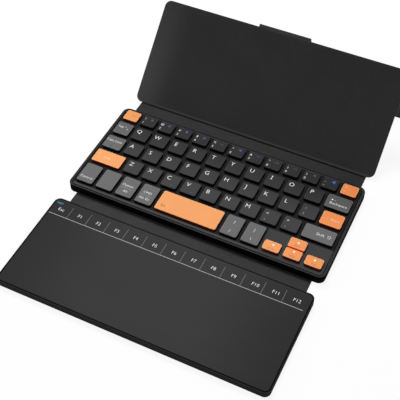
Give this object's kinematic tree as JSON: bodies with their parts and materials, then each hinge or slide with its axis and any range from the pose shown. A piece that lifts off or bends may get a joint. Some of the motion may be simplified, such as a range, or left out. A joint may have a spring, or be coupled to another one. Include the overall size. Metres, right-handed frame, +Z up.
{
  "type": "compact keyboard with folio stand",
  "caption": "Compact letter keyboard in a folding folio: touch flap in front, leaning stand board with kickstand behind, closing strap at the side.",
  "frame": {"origin": "middle of the keyboard base's underside, on the table", "axes": "+X to the right as typed on, +Y from the touch flap to the stand, +Z up"},
  "size_m": [0.2116, 0.2581, 0.054],
  "materials": {
    "leatherette": "fine grained, dark grey",
    "case_plastic": "satin, near black",
    "touch_surface": "smooth satin, dark grey",
    "dark_caps": "fine matte, dark grey",
    "grey_caps": "fine matte, mid grey",
    "orange_caps": "fine matte, orange",
    "circuit_board": "solder mask",
    "chip_plastic": "moulded",
    "clear_film": "polyester film",
    "dome_rubber": "silicone",
    "foot_rubber": "matte",
    "sheet_steel": "plain",
    "screw_steel": "black oxide",
    "magnet_nickel": "nickel plated",
    "stiffener_plastic": "glass filled",
    "battery_foil": "laminated pouch",
    "indicator_glass": "clear, lit blue"
  },
  "bodies": {
    "base": {"base_skin": "leatherette", "bottom_case": "case_plastic", "top_frame": "case_plastic", "key_support_plate": "sheet_steel", "membrane_circuit": "clear_film", "dome_sheet": "dome_rubber", "controller_board": "circuit_board", "controller_chips": "chip_plastic", "case_screws": "screw_steel", "base_magnets": "magnet_nickel"},
    "front_spine": {"front_spine_skin": "leatherette", "front_spine_lining": "leatherette", "flex_cable": "clear_film"},
    "touch_flap": {"flap_skin": "leatherette", "flap_tray": "case_plastic", "touch_cover": "touch_surface", "touch_sensor_board": "circuit_board", "battery": "battery_foil", "charge_port": "sheet_steel", "power_board": "circuit_board", "indicator_lens": "indicator_glass", "flap_magnets": "magnet_nickel"},
    "rear_spine": {"rear_spine_skin": "leatherette", "rear_spine_lining": "leatherette"},
    "stand_board": {"board_back_skin": "leatherette", "board_stiffener": "stiffener_plastic", "board_front_skin": "leatherette", "board_magnets": "magnet_nickel", "kickstand_band": "leatherette"},
    "kickstand": {"kickstand_front_skin": "leatherette", "kickstand_plate": "sheet_steel", "kickstand_back_skin": "leatherette", "kickstand_foot": "foot_rubber"},
    "strap_side": {"strap_side": "leatherette"},
    "strap_tip": {"strap_tip": "leatherette", "strap_magnet": "magnet_nickel"},
    "key_escape_cap": {"key_escape": "orange_caps"},
    "keys_number_row_caps": {"keys_number_row": "dark_caps"},
    "key_delete_cap": {"key_delete": "orange_caps"},
    "key_tab_cap": {"key_tab": "grey_caps"},
    "keys_upper_row_caps": {"keys_upper_row": "dark_caps"},
    "key_backspace_cap": {"key_backspace": "grey_caps"},
    "key_caps_lock_cap": {"key_caps_lock": "grey_caps"},
    "keys_home_row_caps": {"keys_home_row": "dark_caps"},
    "key_enter_cap": {"key_enter": "orange_caps"},
    "key_left_shift_cap": {"key_left_shift": "orange_caps"},
    "keys_lower_row_caps": {"keys_lower_row": "dark_caps"},
    "key_right_shift_cap": {"key_right_shift": "grey_caps"},
    "key_control_cap": {"key_control": "grey_caps"},
    "key_function_cap": {"key_function": "grey_caps"},
    "key_option_cap": {"key_option": "grey_caps"},
    "key_command_cap": {"key_command": "grey_caps"},
    "key_space_cap": {"key_space": "orange_caps"},
    "key_slash_cap": {"key_slash": "grey_caps"},
    "key_bar_cap": {"key_bar": "grey_caps"},
    "key_left_cap": {"key_left": "orange_caps"},
    "key_down_cap": {"key_down": "orange_caps"},
    "key_up_cap": {"key_up": "orange_caps"},
    "key_right_cap": {"key_right": "orange_caps"}
  },
  "joints": [
    {"name": "front_spine_fold", "type": "hinge", "parent": "base", "child": "front_spine", "pos_m": [0, -0.0402, 0.001], "axis": [-1, 0, 0], "range_deg": [0, 90]},
    {"name": "touch_flap_fold", "type": "hinge", "parent": "front_spine", "child": "touch_flap", "pos_m": [0, -0.0517, 0.001], "axis": [-1, 0, 0], "range_deg": [0, 90]},
    {"name": "rear_spine_fold", "type": "hinge", "parent": "base", "child": "rear_spine", "pos_m": [0, 0.0402, 0.001], "axis": [1, 0, 0], "range_deg": [0, 90]},
    {"name": "board_fold", "type": "hinge", "parent": "rear_spine", "child": "stand_board", "pos_m": [0, 0.054, 0.001], "axis": [1, 0, 0], "range_deg": [0, 45.2]},
    {"name": "kickstand_fold", "type": "hinge", "parent": "stand_board", "child": "kickstand", "pos_m": [0, 0.10842, 0.05278], "axis": [-1, 0, 0], "range_deg": [0, 69.9]},
    {"name": "strap_side_fold", "type": "hinge", "parent": "stand_board", "child": "strap_side", "pos_m": [0.0888, 0.09232, 0.04046], "axis": [0, -0.7096, -0.7046], "range_deg": [0, 90]},
    {"name": "strap_tip_fold", "type": "hinge", "parent": "strap_side", "child": "strap_tip", "pos_m": [0.1029, 0.09232, 0.04046], "axis": [0, -0.7096, -0.7046], "range_deg": [0, 90]},
    {"name": "key_escape_press", "type": "slide", "parent": "base", "child": "key_escape_cap", "axis": [0, 0, -1], "range_m": [0, 0.001], "stiffness_N_per_m": 600, "deforming": ["dome_sheet"]},
    {"name": "keys_number_row_press", "type": "slide", "parent": "base", "child": "keys_number_row_caps", "axis": [0, 0, -1], "range_m": [0, 0.001], "stiffness_N_per_m": 600, "deforming": ["dome_sheet"]},
    {"name": "key_delete_press", "type": "slide", "parent": "base", "child": "key_delete_cap", "axis": [0, 0, -1], "range_m": [0, 0.001], "stiffness_N_per_m": 600, "deforming": ["dome_sheet"]},
    {"name": "key_tab_press", "type": "slide", "parent": "base", "child": "key_tab_cap", "axis": [0, 0, -1], "range_m": [0, 0.001], "stiffness_N_per_m": 600, "deforming": ["dome_sheet"]},
    {"name": "keys_upper_row_press", "type": "slide", "parent": "base", "child": "keys_upper_row_caps", "axis": [0, 0, -1], "range_m": [0, 0.001], "stiffness_N_per_m": 600, "deforming": ["dome_sheet"]},
    {"name": "key_backspace_press", "type": "slide", "parent": "base", "child": "key_backspace_cap", "axis": [0, 0, -1], "range_m": [0, 0.001], "stiffness_N_per_m": 600, "deforming": ["dome_sheet"]},
    {"name": "key_caps_lock_press", "type": "slide", "parent": "base", "child": "key_caps_lock_cap", "axis": [0, 0, -1], "range_m": [0, 0.001], "stiffness_N_per_m": 600, "deforming": ["dome_sheet"]},
    {"name": "keys_home_row_press", "type": "slide", "parent": "base", "child": "keys_home_row_caps", "axis": [0, 0, -1], "range_m": [0, 0.001], "stiffness_N_per_m": 600, "deforming": ["dome_sheet"]},
    {"name": "key_enter_press", "type": "slide", "parent": "base", "child": "key_enter_cap", "axis": [0, 0, -1], "range_m": [0, 0.001], "stiffness_N_per_m": 600, "deforming": ["dome_sheet"]},
    {"name": "key_left_shift_press", "type": "slide", "parent": "base", "child": "key_left_shift_cap", "axis": [0, 0, -1], "range_m": [0, 0.001], "stiffness_N_per_m": 600, "deforming": ["dome_sheet"]},
    {"name": "keys_lower_row_press", "type": "slide", "parent": "base", "child": "keys_lower_row_caps", "axis": [0, 0, -1], "range_m": [0, 0.001], "stiffness_N_per_m": 600, "deforming": ["dome_sheet"]},
    {"name": "key_right_shift_press", "type": "slide", "parent": "base", "child": "key_right_shift_cap", "axis": [0, 0, -1], "range_m": [0, 0.001], "stiffness_N_per_m": 600, "deforming": ["dome_sheet"]},
    {"name": "key_control_press", "type": "slide", "parent": "base", "child": "key_control_cap", "axis": [0, 0, -1], "range_m": [0, 0.001], "stiffness_N_per_m": 600, "deforming": ["dome_sheet"]},
    {"name": "key_function_press", "type": "slide", "parent": "base", "child": "key_function_cap", "axis": [0, 0, -1], "range_m": [0, 0.001], "stiffness_N_per_m": 600, "deforming": ["dome_sheet"]},
    {"name": "key_option_press", "type": "slide", "parent": "base", "child": "key_option_cap", "axis": [0, 0, -1], "range_m": [0, 0.001], "stiffness_N_per_m": 600, "deforming": ["dome_sheet"]},
    {"name": "key_command_press", "type": "slide", "parent": "base", "child": "key_command_cap", "axis": [0, 0, -1], "range_m": [0, 0.001], "stiffness_N_per_m": 600, "deforming": ["dome_sheet"]},
    {"name": "key_space_press", "type": "slide", "parent": "base", "child": "key_space_cap", "axis": [0, 0, -1], "range_m": [0, 0.001], "stiffness_N_per_m": 600, "deforming": ["dome_sheet"]},
    {"name": "key_slash_press", "type": "slide", "parent": "base", "child": "key_slash_cap", "axis": [0, 0, -1], "range_m": [0, 0.001], "stiffness_N_per_m": 600, "deforming": ["dome_sheet"]},
    {"name": "key_bar_press", "type": "slide", "parent": "base", "child": "key_bar_cap", "axis": [0, 0, -1], "range_m": [0, 0.001], "stiffness_N_per_m": 600, "deforming": ["dome_sheet"]},
    {"name": "key_left_press", "type": "slide", "parent": "base", "child": "key_left_cap", "axis": [0, 0, -1], "range_m": [0, 0.001], "stiffness_N_per_m": 600, "deforming": ["dome_sheet"]},
    {"name": "key_down_press", "type": "slide", "parent": "base", "child": "key_down_cap", "axis": [0, 0, -1], "range_m": [0, 0.001], "stiffness_N_per_m": 600, "deforming": ["dome_sheet"]},
    {"name": "key_up_press", "type": "slide", "parent": "base", "child": "key_up_cap", "axis": [0, 0, -1], "range_m": [0, 0.001], "stiffness_N_per_m": 600, "deforming": ["dome_sheet"]},
    {"name": "key_right_press", "type": "slide", "parent": "base", "child": "key_right_cap", "axis": [0, 0, -1], "range_m": [0, 0.001], "stiffness_N_per_m": 600, "deforming": ["dome_sheet"]}
  ],
  "couplings": [
    {"joint": "front_spine_fold", "follows": "touch_flap_fold", "ratio": 1},
    {"joint": "strap_side_fold", "follows": "strap_tip_fold", "ratio": 1}
  ]
}
